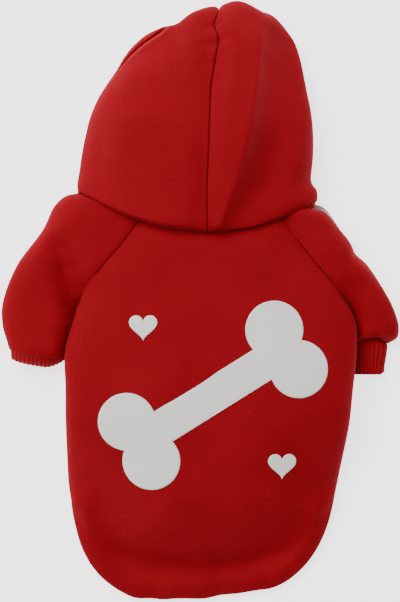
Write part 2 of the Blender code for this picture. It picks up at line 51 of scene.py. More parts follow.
HEM_MIDDLE = np.array((0.00546, -0.22310, 0.0))  # where the middle of the back hem lies on the table
TABLE_GAP = 0.0002  # least height of any cloth above the table

# Sections of the body from the tail to the neck, in shares of the length, width and height above.
Body = namedtuple("Body", "side back belly left right crown back_edge belly_edge hem")
BODY = (
    Body(0.226, 0.038, 0.258, -0.455, 0.420, 0.29, 0.33, 0.33, 1.0),
    Body(0.223, 0.007, 0.281, -0.461, 0.425, 0.31, 0.35, 0.35, 1.0),
    Body(0.219, 0.000, 0.304, -0.465, 0.429, 0.39, 0.37, 0.37, 1.0),
    Body(0.240, 0.031, 0.327, -0.473, 0.438, 0.46, 0.38, 0.30, 0.9),
    Body(0.265, 0.080, 0.350, -0.478, 0.446, 0.54, 0.38, 0.30, 0.75),
    Body(0.304, 0.137, 0.377, -0.487, 0.458, 0.71, 0.38, 0.36, 0.6),
    Body(0.363, 0.227, 0.420, -0.490, 0.474, 0.89, 0.38, 0.38, 0.4),
    Body(0.446, 0.369, 0.476, -0.493, 0.495, 0.975, 0.39, 0.39, 0.2),
    Body(0.536, 0.503, 0.540, -0.493, 0.507, 1.00, 0.42, 0.42, 0.0),
    Body(0.626, 0.621, 0.622, -0.4945, 0.519, 1.00, 0.46, 0.46, 0.0),
    Body(0.709, 0.724, 0.704, -0.465, 0.513, 0.99, 0.50, 0.47, 0.0),
    Body(0.786, 0.814, 0.776, -0.423, 0.450, 0.96, 0.69, 0.10, 0.0),
    Body(0.853, 0.884, 0.838, -0.354, 0.375, 0.935, 0.79, 0.00, 0.0),
    Body(0.910, 0.941, 0.884, -0.288, 0.313, 0.91, 0.81, 0.00, 0.0),
    Body(0.972, 1.000, 0.930, -0.226, 0.247, 0.875, 0.82, 0.00, 0.0),
)


def between(rows, name, at):
    """A column of one of the garment's tables at a row number between two rows, smoothed."""
    values = [getattr(row, name) for row in rows]
    last = len(values) - 1
    low = min(max(int(math.floor(at)), 0), last - 1)
    a, b = values[low], values[low + 1]
    before = values[low - 1] if low > 0 else 2 * a - b
    after = values[low + 2] if low + 2 <= last else 2 * b - a
    t = at - low
    slope_a, slope_b = (b - before) / 2, (after - a) / 2
    return (
        (2 * t**3 - 3 * t**2 + 1) * a
        + (t**3 - 2 * t**2 + t) * slope_a
        + (3 * t**2 - 2 * t**3) * b
        + (t**3 - t**2) * slope_b
    )


def rounded(t, power, corner=None):
    """1 in the middle, falling to 0 at t = 1 as a rounded corner does."""
    return np.maximum(0.0, 1 - np.abs(t) ** power) ** (1 / (corner or power))


def ease(t):
    """0 to 1 with level ends."""
    t = np.clip(t, 0.0, 1.0)
    return t * t * (3 - 2 * t)


def body_edge(row, side):
    """Plan place of the body's left (-1) or right (1) edge, at the side seam or the raglan seam."""
    across = between(BODY, "left" if side < 0 else "right", row) * CHEST_WIDTH
    return across, between(BODY, "side", row) * BACK_LENGTH


def body_plan(row, t, middle):
    """Plan places along a body row: t runs from -1 at the left edge to 1 at the right one."""
    left, along = body_edge(row, -1)
    right, _ = body_edge(row, 1)
    hem = min(max(between(BODY, "hem", row), 0.0), 1.0)
    corner = np.where(t < 0, rounded(t, 4.4, 1.5), rounded(t, 2.85, 1.5))
    bow = hem * corner + (1 - hem) * (1 - t * t)
    x = (left + right) / 2 + t * (right - left) / 2
    return x, along + (between(BODY, middle, row) * BACK_LENGTH - along) * bow


def back_row(t, row):
    """The back panel's outside along one of its rows, which falls less towards the raglan seams."""
    x, y = body_plan(row, t, "back")
    edge = between(BODY, "back_edge", row) * CHEST_HEIGHT
    crown = between(BODY, "crown", row) * CHEST_HEIGHT
    raglan = float(ease((row - 10.3) / 1.2))
    fall = (1 - raglan) * rounded(t, 3.7) + raglan * (1 - np.abs(t) ** 5)
    seam = edge + (crown - edge) * 0.35 * raglan
    return np.stack([x, y, seam + (crown - seam) * fall], axis=-1)


def cloth_swells(points, length, seed):
    """Slow swells of a cloth that lies loosely, about as long as length, from about -1 to 1."""
    chance = np.random.default_rng(seed)
    total = np.zeros(points.shape[:-1])
    for _ in range(16):
        way = chance.normal(size=3)
        way *= 2 * math.pi / (np.linalg.norm(way) * length * chance.uniform(0.7, 1.8))
        total += np.sin(points @ way + chance.uniform(0, 2 * math.pi))
    return total / 5.0


def valley(points, route, width):
    """Depth of a soft valley or crease in the cloth. Route holds its way in plan as (x, y, depth)."""
    nearest = np.full(points.shape[:-1], 1.0)
    depth = np.zeros(points.shape[:-1])
    for start, end in zip(route[:-1], route[1:]):
        start, end = np.array(start), np.array(end)
        way = end[:2] - start[:2]
        share = np.clip((points[..., :2] - start[:2]) @ way / (way @ way), 0, 1)
        off = np.linalg.norm(points[..., :2] - start[:2] - share[..., None] * way, axis=-1)
        depth = np.where(off < nearest, start[2] + (end[2] - start[2]) * share, depth)
        nearest = np.minimum(nearest, off)
    return depth * np.exp(-((nearest / width) ** 2))


def outward(points, flip=False):
    """Unit normals of a grid of cloth, on its outside."""
    along, across = np.gradient(points, axis=0), np.gradient(points, axis=1)
    normal = np.cross(across, along)
    normal /= np.maximum(np.linalg.norm(normal, axis=-1, keepdims=True), 1e-12)
    return -normal if flip else normal


def lengths_from(points, axis, start):
    """Cloth length from a starting row or column to each point, measured along the cloth."""
    steps = np.linalg.norm(np.diff(points, axis=axis), axis=-1)
    nothing = np.zeros_like(np.take(steps, [0], axis=axis))
    total = np.concatenate([nothing, np.cumsum(steps, axis=axis)], axis=axis)
    return total - np.take(total, [start], axis=axis)


def thicken(piece, wall):
    """Gives a cloth or a film its thickness below its outside, and leaves it selected."""
    bpy.ops.object.select_all(action="DESELECT")
    bpy.context.view_layer.objects.active = piece
    piece.select_set(True)
    thick = piece.modifiers.new("thickness", "SOLIDIFY")
    thick.thickness = wall
    thick.offset = -1
    bpy.ops.object.modifier_apply(modifier=thick.name)


def sew(name, points, wall, finish, grain=0, flip=False, rounds=1):
    """Makes a grid of places on a piece's outside into a cloth with its thickness and rounded cut
    edges. Its UV map holds metres of cloth, across from the grain column and along from row 0."""
    rows, columns = points.shape[:2]
    index = np.arange(rows * columns).reshape(rows, columns)
    quads = np.stack([index[:-1, :-1], index[:-1, 1:], index[1:, 1:], index[1:, :-1]], axis=-1).reshape(-1, 4)
    mesh = bpy.data.meshes.new(name)
    faces = quads[:, ::-1] if flip else quads
    mesh.from_pydata((points + HEM_MIDDLE).reshape(-1, 3).tolist(), [], faces.tolist())
    knit = np.stack([lengths_from(points, 1, grain), lengths_from(points, 0, 0)], axis=-1).reshape(-1, 2)
    corners = np.empty(len(mesh.loops), dtype=int)
    mesh.loops.foreach_get("vertex_index", corners)
    mesh.uv_layers.new(name="knit").data.foreach_set("uv", knit[corners].ravel())
    mesh.materials.append(finish)
    piece = bpy.data.objects.new(name, mesh)
    bpy.context.scene.collection.objects.link(piece)
    shape = bmesh.new()
    shape.from_mesh(mesh)
    bmesh.ops.remove_doubles(shape, verts=shape.verts, dist=0.00002)
    shape.to_mesh(mesh)
    shape.free()
    thicken(piece, wall)
    if rounds:
        soft = piece.modifiers.new("softness", "SUBSURF")
        soft.levels = soft.render_levels = rounds
        bpy.ops.object.modifier_apply(modifier=soft.name)
    places = np.empty(3 * len(mesh.vertices))
    mesh.vertices.foreach_get("co", places)
    places[2::3] = np.maximum(places[2::3], TABLE_GAP)
    mesh.vertices.foreach_set("co", places)
    mesh.shade_smooth()
    piece.select_set(False)
    return piece


def knit_cloth(name, colour, wale, course, depth, clouds=0.12):
    """Piece-dyed knit from close by: columns and courses of stitches, a fuzz of loose fibres, a few
    pale bits of lint and faint clouds in the dye. Wale and course are a stitch's width and height."""
    made = bpy.data.materials.new(name)
    made.use_nodes = True
    tree = made.node_tree
    shader = tree.nodes["Principled BSDF"]
    shader.inputs["Roughness"].default_value = 0.95
    shader.inputs["Specular IOR Level"].default_value = 0.08
    shader.inputs["Sheen Weight"].default_value = 0.15
    shader.inputs["Sheen Roughness"].default_value = 0.40
    shader.inputs["Sheen Tint"].default_value = (1.0, 0.08, 0.10, 1)

    def worked_out(kind, first, second=0.0):
        node = tree.nodes.new("ShaderNodeMath")
        node.operation = kind
        for socket, value in zip(node.inputs, (first, second)):
            if isinstance(value, (int, float)):
                socket.default_value = value
            else:
                tree.links.new(value, socket)
        return node.outputs[0]

    place = tree.nodes.new("ShaderNodeTexCoord").outputs["Object"]

    def noise(scale, detail, at=place):
        node = tree.nodes.new("ShaderNodeTexNoise")
        node.inputs["Scale"].default_value = scale
        node.inputs["Detail"].default_value = detail
        tree.links.new(at, node.inputs["Vector"])
        return node.outputs["Fac"]

    cloth = tree.nodes.new("ShaderNodeUVMap")
    cloth.uv_map = "knit"
    split = tree.nodes.new("ShaderNodeSeparateXYZ")
    tree.links.new(cloth.outputs[0], split.inputs[0])
    across, along = split.outputs[0], split.outputs[1]
    columns = worked_out("SINE", worked_out("MULTIPLY", across, 2 * math.pi / wale))
    lean = worked_out("MULTIPLY", worked_out("ABSOLUTE", columns), 1.6)
    courses = worked_out("SINE", worked_out("ADD", worked_out("MULTIPLY", along, 2 * math.pi / course), lean))
    stitches = worked_out("ADD", worked_out("MULTIPLY", columns, 0.5), worked_out("MULTIPLY", courses, 0.22))
    fuzz, dye = noise(1100, 4), noise(26, 5)
    height = worked_out("ADD", stitches, worked_out("MULTIPLY", fuzz, 1.5))
    bump = tree.nodes.new("ShaderNodeBump")
    bump.inputs["Strength"].default_value = 0.6
    bump.inputs["Distance"].default_value = depth
    tree.links.new(height, bump.inputs["Height"])
    tree.links.new(bump.outputs[0], shader.inputs["Normal"])
    shade = tree.nodes.new("ShaderNodeValToRGB")
    mixed = worked_out("ADD", worked_out("MULTIPLY", dye, 0.55), worked_out("MULTIPLY", fuzz, 0.45))
    tree.links.new(mixed, shade.inputs["Fac"])
    low, high = shade.color_ramp.elements
    low.position, high.position = 0.30, 0.72
    low.color = (*[c * (1 - clouds) for c in colour], 1)
    high.color = (*[c * (1 + clouds) for c in colour], 1)
    lint = worked_out("GREATER_THAN", noise(420, 1), 0.83)
    fluff = tree.nodes.new("ShaderNodeMix")
    fluff.data_type = "RGBA"
    tree.links.new(worked_out("MULTIPLY", lint, 0.35), fluff.inputs["Factor"])
    tree.links.new(shade.outputs["Color"], fluff.inputs[6])
    fluff.inputs[7].default_value = (0.38, 0.11, 0.11, 1)
    tree.links.new(fluff.outputs[2], shader.inputs["Base Color"])
    return made


def seam_dip(off, fold=0.0009, run=0.0011):
    """How far a cloth rolls down into a seam, at a distance off it."""
    return fold * np.exp(-off / run)


def raglan_pucker(down, off, phase=0.0):
    """Small puckers beside a raglan seam, at distances down the seam and off it."""
    return 0.00022 * np.sin(2 * math.pi * down / 0.0085 + phase) * np.exp(-off / 0.006)


fleece = knit_cloth("red_sweatshirt_knit", (0.252, 0.0037, 0.0090), 0.0012, 0.0010, 0.00011)
even = np.linspace(-1, 1, 89)
back_across = 0.2 * even + 0.8 * np.sin(math.pi / 2 * even)
back_rows = np.linspace(0, 14, 118)
back_points = np.array([back_row(back_across, row) for row in back_rows])

# The raglan seams pull a shallow valley into the back, deeper on the right, and pucker it a little.
# Each side's value is found by its number, -1 for the left and 1 for the right.
VALLEY_DEPTH = {-1: 0.0008, 1: 0.0019}
VALLEY_WIDTH = 0.0060
SEAM_FOLD = {-1: 0.0009, 1: 0.0005}  # how far the cloth rolls down into the seam
for side, edge in ((-1, 0), (1, -1)):
    seam = back_points[:, edge][back_rows > 10.4][::4]
    shares = np.linspace(0.2, 1.0, len(seam))
    route = [(x, y, VALLEY_DEPTH[side] * share) for (x, y, _), share in zip(seam, shares)]
    back_points[..., 2] -= valley(back_points, route, VALLEY_WIDTH)
    off = np.abs(lengths_from(back_points, 1, edge % len(even)))
    down = lengths_from(back_points, 0, 0)
    dip = seam_dip(off, SEAM_FOLD[side]) + raglan_pucker(down, off)
    back_points[..., 2] -= dip * ease((back_rows - 10) / 1.5)[:, None]

# The tail droops to the table ahead of its hem. Inside is the distance from the hem's outline.
Droop = namedtuple("Droop", "inside down")
TAIL_DROOP = (
    Droop(0.0000, 0.0110),
    Droop(0.0045, 0.0070),
    Droop(0.0085, 0.0080),
    Droop(0.0130, 0.0106),
    Droop(0.0180, 0.0128),
    Droop(0.0250, 0.0132),
    Droop(0.0350, 0.0106),
    Droop(0.0510, 0.0054),
    Droop(0.0715, 0.0013),
    Droop(0.0930, 0.0000),
)
hem_outline = np.stack(body_plan(2, np.linspace(-1, 1, 121), "back"), axis=-1)


def from_hem(points):
    """Distance in plan of each place from the outline of the back's hem."""
    apart = points[..., None, :2] - hem_outline
    return np.sqrt((apart**2).sum(axis=-1)).min(axis=-1)


def read_smooth(table, place, spread):
    """Second column of a table at places in its first one, smoothed over a spread to each side."""
    table = np.array(table)
    steps = np.linspace(-spread, spread, 7)
    return np.mean([np.interp(place + step, table[:, 0], table[:, 1]) for step in steps], axis=0)


# The hem's outline isn't an even round. Place is across the garment, and a shift below 0 is towards
# the tail.
Waver = namedtuple("Waver", "place shift")
HEM_WAVER = (
    Waver(-0.0880, -0.0024),
    Waver(-0.0730, -0.0022),
    Waver(-0.0655, -0.0029),
    Waver(-0.0560, -0.0044),
    Waver(-0.0490, -0.0036),
    Waver(-0.0430, -0.0020),
    Waver(-0.0355, -0.0030),
    Waver(-0.0205, -0.0016),
    Waver(-0.0055, -0.0021),
    Waver(0.0020, -0.0014),
    Waver(0.0095, 0.0010),
    Waver(0.0320, 0.0016),
    Waver(0.0395, 0.0008),
    Waver(0.0470, -0.0014),
    Waver(0.0620, -0.0029),
    Waver(0.0770, -0.0026),
    Waver(0.0880, -0.0014),
)
inside = from_hem(back_points)
back_points[..., 2] -= read_smooth(TAIL_DROOP, inside, 0.006)
back_points[..., 1] += read_smooth(HEM_WAVER, back_points[..., 0], 0.004) * np.exp(-((inside / 0.022) ** 2))

# Over the tail the cloth sags a little and wrinkles where it turns in at the hem. Every route here
# and below is in plan from the middle of the back hem.
TAIL_WRINKLES = (
    ((-0.060, 0.052, 0.0000), (-0.015, 0.044, 0.0010), (0.030, 0.050, 0.0000)),
    ((0.006, 0.003, 0.0012), (0.010, 0.030, 0.0008), (0.004, 0.060, 0.0000)),
    ((-0.041, 0.002, 0.0010), (-0.036, 0.024, 0.0005), (-0.038, 0.045, 0.0000)),
    ((0.045, 0.012, 0.0010), (0.043, 0.032, 0.0004), (0.048, 0.050, 0.0000)),
)
for route in TAIL_WRINKLES:
    back_points[..., 2] -= valley(back_points, route, 0.0060)
swell = 0.0008 * cloth_swells(back_points, 0.080, 4) + 0.00014 * cloth_swells(back_points, 0.020, 5)
back_points += outward(back_points) * (swell * (1 - np.abs(back_across) ** 12))[..., None]
back = sew("back_panel_cloth", back_points, CLOTH, fleece, grain=len(even) // 2)
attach(back, "root")
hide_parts("back_panel")


# Belly panel. The same knit, cut shorter, so that its hem lies well ahead of the back's. It rests
# flat on the table and turns up to the side seams.
SIDE_BEND = 0.022  # run over which it turns up
SIDE_SEAM = 0.0152  # usual height of the side seam above the table


def turned_up(inside, bend):
    """Height share of a floor that turns up to 1 at its edge: inside is the distance from the edge."""
    return 1 - np.sqrt(1 - np.clip((bend - inside) / bend, 0.0, 1.0) ** 2)


def belly_row(t, row):
    """The belly panel's outside along one of its rows."""
    x, y = body_plan(row, t, "belly")
    left, _ = body_edge(row, -1)
    right, _ = body_edge(row, 1)
    edge = max(min(between(BODY, "belly_edge", row), between(BODY, "back_edge", row)), 0.0) * CHEST_HEIGHT
    over_sleeve = 1 - 0.42 * math.exp(-(((row - 9.4) / 1.1) ** 2))
    floor = turned_up(np.minimum(x - left, right - x), SIDE_BEND) ** over_sleeve
    return np.stack([x, y, edge * floor], axis=-1)


belly_points = np.array([belly_row(back_across[::-1], row) for row in np.linspace(3, 14, 72)])
inside = np.minimum(1, np.abs(lengths_from(belly_points, 0, 0)) / 0.006)
belly_points[..., 2] += 0.0004 * (1 + cloth_swells(belly_points, 0.05, 6)) * ease(inside)
beside_hem = read_smooth(TAIL_DROOP, from_hem(belly_points), 0.003)
belly_points[..., 2] -= beside_hem * np.minimum(belly_points[..., 2] / SIDE_SEAM, 1)
belly = sew("belly_panel_cloth", belly_points, CLOTH, fleece, grain=len(even) // 2)
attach(belly, "root")
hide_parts("belly_panel")


# Sleeves. Short raglan sleeves in the same knit: one cloth each, open to the body along the raglan
# seams and sewn into a tube below the underarm.
SLEEVE_WIDTH = 0.0525
SLEEVE_HEIGHT = 0.030
SLEEVE_BEND = 0.010
UNDERARM_BEND = 0.008
UNDERARM_ROW = 10

# Sections of each sleeve from the neck to its end. Row is the body's row that it leaves, apart its
# distance from the body, and seam a share of the raglan seam's height. The others are shares of
# the sleeve's width and height.
Sleeve = namedtuple("Sleeve", "row out up crown seam outer inner lift apart")
LEFT_SLEEVE = (
    Sleeve(14.0, 0.886, 0.305, 0.03, 1.0, 0.45, 0.60, 0.00, 0.0003),
    Sleeve(13.0, 0.943, 0.560, 0.04, 1.0, 0.45, 0.60, 0.00, 0.0003),
    Sleeve(12.0, 0.900, 0.471, 0.03, 1.0, 0.45, 0.60, 0.00, 0.0003),
    Sleeve(11.0, 0.975, 0.350, 0.15, 0.9, 0.45, 0.60, 0.00, 0.0004),
    Sleeve(10.0, 1.062, 0.257, 0.60, 0.4, 0.45, 0.40, 0.05, -0.0026),
    Sleeve(9.5, 1.002, 0.171, 0.88, 0.0, 0.50, 0.38, 0.26, -0.0030),
    Sleeve(9.12, 0.909, 0.140, 0.86, 0.0, 0.53, 0.40, 0.28, -0.0032),
    Sleeve(8.82, 0.838, 0.120, 0.80, 0.0, 0.53, 0.41, 0.28, -0.0030),
)
RIGHT_SLEEVE = (
    Sleeve(14.0, 0.500, 0.130, 0.03, 1.0, 0.45, 0.60, 0.00, 0.0003),
    Sleeve(13.0, 0.410, 0.402, 0.04, 1.0, 0.45, 0.60, 0.00, 0.0003),
    Sleeve(12.0, 0.495, 0.280, 0.03, 1.0, 0.45, 0.60, 0.00, 0.0003),
    Sleeve(11.0, 0.510, 0.235, 0.15, 0.9, 0.45, 0.60, 0.00, 0.0004),
    Sleeve(10.0, 0.618, 0.070, 0.55, 0.4, 0.45, 0.46, 0.00, -0.0020),
    Sleeve(9.65, 0.671, 0.075, 0.80, 0.0, 0.45, 0.26, 0.00, -0.0040),
    Sleeve(9.45, 0.663, 0.000, 0.70, 0.0, 0.38, 0.22, 0.00, -0.0045),
    Sleeve(9.26, 0.538, 0.000, 0.46, 0.0, 0.20, 0.18, 0.00, -0.0045),
)


def sleeve_row(sections, side, u, station):
    """A sleeve's outside round one section: u from the back raglan over the shoulder to the front."""
    row = between(sections, "row", station)
    x_in, y_in = body_edge(row, side)
    x_in += side * between(sections, "apart", station)
    x_out = x_in + side * between(sections, "out", station) * SLEEVE_WIDTH
    y_out = y_in + between(sections, "up", station) * SLEEVE_WIDTH
    raglan = between(BODY, "back_edge", row) * CHEST_HEIGHT
    top = between(BODY, "crown", row) * CHEST_HEIGHT
    front = max(between(BODY, "belly_edge", row), 0.0) * CHEST_HEIGHT
    crown = between(sections, "crown", station) * SLEEVE_HEIGHT + between(sections, "seam", station) * raglan
    outer = between(sections, "outer", station) * SLEEVE_HEIGHT
    inner = between(sections, "inner", station) * SLEEVE_HEIGHT
    lift = max(between(sections, "lift", station), 0.0) * SLEEVE_HEIGHT
    opened = float(ease(row - UNDERARM_ROW))
    raglan += (top - raglan) * 0.35 * float(ease((row - 10.3) / 1.2))
    crown = max(crown, raglan) if opened > 0.99 else crown
    upper_in = inner + (raglan - inner) * opened
    lower_in = inner + (front - inner) * opened
    t = np.cos(2 * math.pi * u)
    width = math.hypot(x_out - x_in, y_out - y_in)
    share = (t + 1) / 2
    x, y = x_out + (x_in - x_out) * share, y_out + (y_in - y_out) * share
    far = outer + (crown - outer) * rounded(t, 2.5)
    near = upper_in + (crown - upper_in) * (1 - np.abs(t) ** 4)
    at_shoulder = turned_up(width * share, SLEEVE_BEND) * (outer - lift)
    at_inner = turned_up(width * (1 - share), UNDERARM_BEND) * max(lower_in - lift, 0.0)
    under = lift + at_shoulder + at_inner
    z = np.where(u <= 0.5, np.where(t < 0, far, near), under)
    return np.stack([x, y, z], axis=-1)


# Creases of each sleeve: the width, and the route as (x, y, depth).
Crease = namedtuple("Crease", "width route")
UNDERARM_CREASE = (
    (-0.114, 0.274, 0.0),
    (-0.110, 0.262, 0.0058),
    (-0.105, 0.246, 0.0088),
    (-0.100, 0.231, 0.0084),
    (-0.099, 0.216, 0.0056),
    (-0.102, 0.204, 0.0),
)
SHOULDER_CREASE = (
    (0.104, 0.224, 0.0008),
    (0.111, 0.212, 0.0028),
    (0.117, 0.205, 0.0034),
    (0.124, 0.202, 0.0022),
    (0.134, 0.203, 0.0),
)
LEFT_CREASES = (
    Crease(0.0102, UNDERARM_CREASE),
    Crease(0.0040, ((-0.140, 0.200, 0.0), (-0.125, 0.194, 0.0010), (-0.110, 0.193, 0.0))),
)
RIGHT_CREASES = (
    Crease(0.0095, SHOULDER_CREASE),
    Crease(0.0014, ((0.1125, 0.1910, 0.0030), (0.1205, 0.1930, 0.0028), (0.1285, 0.1962, 0.0))),
    Crease(0.0050, ((0.118, 0.262, 0.0014), (0.111, 0.252, 0.0006), (0.100, 0.246, 0.0))),
)

# Waves of each sleeve's outer edge on its way from the neck to the cuff, across and along.
Wave = namedtuple("Wave", "station across along")
LEFT_WAVES = (
    Wave(0.0, 0.0, 0.0026),
    Wave(0.5, 0.0, 0.0024),
    Wave(1.0, 0.0, 0.0004),
    Wave(1.3, 0.0006, 0.0),
    Wave(1.8, 0.0, 0.0),
    Wave(7.0, 0.0, 0.0),
)
RIGHT_WAVES = (
    Wave(0.0, 0.0, -0.0010),
    Wave(0.6, 0.0, -0.0012),
    Wave(1.2, 0.0, 0.0),
    Wave(1.5, 0.0, 0.0),
    Wave(1.85, 0.0014, 0.0),
    Wave(2.1, 0.0002, 0.0),
    Wave(2.35, -0.0028, 0.0),
    Wave(2.6, 0.0002, 0.0),
    Wave(3.0, 0.0006, 0.0),
    Wave(7.0, 0.0, 0.0),
)

# How the sleeve's end hangs over the cuff's seam: across is the share from the body to the outside.
Hang = namedtuple("Hang", "across back")
LEFT_HANG = (
    Hang(0.0, 0.0),
    Hang(0.25, -0.0016),
    Hang(0.5, -0.0026),
    Hang(0.75, -0.0022),
    Hang(1.0, 0.0),
)
RIGHT_HANG = (
    Hang(0.0, 0.0),
    Hang(0.25, 0.0006),
    Hang(0.45, 0.0014),
    Hang(0.66, 0.0038),
    Hang(0.80, 0.0008),
    Hang(1.0, -0.0014),
)
round_sleeve = np.linspace(0, 1, 93)
for name, sections, side, creases, waves, hang in (
    ("left", LEFT_SLEEVE, -1, LEFT_CREASES, LEFT_WAVES, LEFT_HANG),
    ("right", RIGHT_SLEEVE, 1, RIGHT_CREASES, RIGHT_WAVES, RIGHT_HANG),
):
    stations = np.linspace(0, len(sections) - 1, 60)
    points = np.array([sleeve_row(sections, side, round_sleeve, station) for station in stations])
    top = ease(round_sleeve / 0.02) * ease((0.5 - round_sleeve) / 0.06)
    opened = ease((4.2 - stations) / 1.5)[:, None]
    off = np.abs(lengths_from(points, 1, 0))
    down = np.abs(lengths_from(points, 0, 0))
    dip = VALLEY_DEPTH[side] * np.exp(-((off / VALLEY_WIDTH) ** 2)) + seam_dip(off, SEAM_FOLD[side])
    dip += raglan_pucker(down, off, 2.0)
    points[..., 2] -= opened * (round_sleeve < 0.5) * dip
    for width, route in creases:
        points[..., 2] -= valley(points, route, width) * top
    to_cuff = np.abs(lengths_from(points, 0, len(stations) - 1))
    points[..., 2] -= top * seam_dip(to_cuff, 0.0016, 0.0016)
    outer_share = (1 - np.cos(2 * math.pi * round_sleeve)) / 2
    waves = np.array(waves)
    outwards = read_smooth(waves[:, [0, 1]], stations, 0.09)
    upwards = read_smooth(waves[:, [0, 2]], stations, 0.12)
    points[..., 0] += side * outwards[:, None] * outer_share**3
    points[..., 1] += upwards[:, None] * outer_share**3
    points[..., 1] += read_smooth(hang, outer_share, 0.05) * top * np.exp(-((to_cuff / 0.008) ** 2))
    swell = 0.0007 * cloth_swells(points, 0.055, 7) + 0.00014 * cloth_swells(points, 0.018, 8)
    points += outward(points, side > 0) * (swell * top)[..., None]
    sleeve = sew("sleeve_" + name + "_cloth", points, CLOTH, fleece, flip=side > 0)
    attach(sleeve, "root")
    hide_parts("sleeve_" + name)


# Cuffs. A coarse rib knit band sewn to each sleeve's end. The left one lies turned under its sleeve.
CUFF_LENGTH = 0.0230
RIB_CLOTH = 0.0016
CUFF_HINGE = 0.0010  # radius at the crease of a cuff that is turned under
RIB = 0.0034  # from one rib to the next
RIB_RELIEF = {"left": 0.00024, "right": 0.00042}  # the turned-under cuff is stretched smoother

# Sections of each cuff from its seam to its edge. Turn is in degrees under the sleeve.
Cuff = namedtuple("Cuff", "along turn height width")
LEFT_CUFF = (
    Cuff(0.0, 0, 0.92, 0.98),
    Cuff(0.0, 45, 0.70, 0.99),
    Cuff(0.0, 90, 0.50, 0.98),
    Cuff(0.0, 135, 0.43, 0.97),
    Cuff(0.0, 180, 0.40, 0.96),
    Cuff(0.3, 180, 0.40, 0.95),
    Cuff(0.6, 180, 0.40, 0.94),
)
RIGHT_CUFF = (
    Cuff(0.0, 0, 0.86, 0.99),
    Cuff(0.3, 0, 0.94, 0.97),
    Cuff(0.6, 0, 0.88, 0.96),
    Cuff(1.0, 0, 0.80, 0.95),
)


def cuff_row(sleeve, cuff, side, u, station):
    """A cuff's outside round one section, whose first section is the sleeve's end."""
    last = len(sleeve) - 1
    floor = max(sleeve[last].lift, 0.0) * SLEEVE_HEIGHT
    x, y, z = np.moveaxis(sleeve_row(sleeve, side, u, last), -1, 0)
    inner, _ = body_edge(sleeve[last].row, side)
    middle = inner + side * (sleeve[last].apart + sleeve[last].out * SLEEVE_WIDTH / 2)
    turn = math.radians(between(cuff, "turn", station))
    along = between(cuff, "along", station) * CUFF_LENGTH + 0.0003 * math.cos(turn)
    hinge = CUFF_HINGE if any(row.turn for row in cuff) else 0.0
    high = hinge + (z - floor) * between(cuff, "height", station)
    x = middle + (x - middle) * between(cuff, "width", station)
    y = y - along * math.cos(turn) - high * math.sin(turn)
    return np.stack([x, y, floor - hinge + high * math.cos(turn) - along * math.sin(turn)], axis=-1)


rib_knit = knit_cloth("red_rib_knit", (0.280, 0.0058, 0.0112), 0.0011, 0.0009, 0.00009)
for name, sleeve, cuff, side in (
    ("left", LEFT_SLEEVE, LEFT_CUFF, -1),
    ("right", RIGHT_SLEEVE, RIGHT_CUFF, 1),
):
    end = cuff_row(sleeve, cuff, side, np.linspace(0, 1, 200), 0)
    ribs = round(float(np.linalg.norm(np.diff(end, axis=0), axis=1).sum()) / RIB)
    u = np.linspace(0, 1, ribs * 12 + 1)
    stations = np.linspace(0, len(cuff) - 1, 36)
    points = np.array([cuff_row(sleeve, cuff, side, u, station) for station in stations])
    girth = lengths_from(points[-1:], 1, 0)[0]
    wave = np.cos(2 * math.pi * ribs * girth / girth[-1])
    rib = np.sign(wave) * np.abs(wave) ** 0.6 * RIB_RELIEF[name] * ease(np.linspace(0, 1, 36) / 0.10)[:, None]
    points += outward(points, flip=side > 0) * (rib - 0.00025)[..., None]
    # The left one's edge rises towards the body. The right one narrows to a rounded corner.
    if side < 0:
        points[..., 1] += 0.0038 * ease((points[..., 0] + 0.1230) / 0.0160)
    else:
        down = ease(stations / (len(cuff) - 1))[:, None]
        points[..., 0] -= 0.0020 * down * ease((points[..., 0] - 0.1150) / 0.0200)
        points[..., 1] += 0.0018 * down**8 * ease((points[..., 0] - 0.1300) / 0.0035)
    middle = points[0].mean(axis=0)
    tucked = []
    for share, step in ((0.80, 0.006), (0.88, 0.002)):
        tucked.append(middle + (points[0] - middle) * (share, 1, share) + (0, step, 0))
    points = np.concatenate([tucked, points])
    points[:, -1] = points[:, 0]
    band = sew("cuff_" + name + "_rib", points, RIB_CLOTH, rib_knit, flip=side > 0, rounds=0)
    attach(band, "root")
    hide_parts("cuff_" + name)


# Hood. Two panels of the same knit, sewn together over the crown and to the neck, with the hem of
# the face opening folded inwards. It lies flattened, rolled forward over the neck seam.
HOOD_LENGTH = 0.1495
HOOD_WIDTH = 0.177
HOOD_HEIGHT = 0.058
HOOD_BEND = 0.012
SIDE_COLUMN = 0.75  # share of a row between the crown seam and the widest point
SEAM_LEAN = 0.051  # how far the crown seam's far end lies to the right, as a share of the width
ROLL_TOP = 0.0405  # height of the roll over the neck seam
ROLL_FALL = 0.030  # how much lower the cloth may lie at the far end
ROLL_SOFTNESS = 0.006

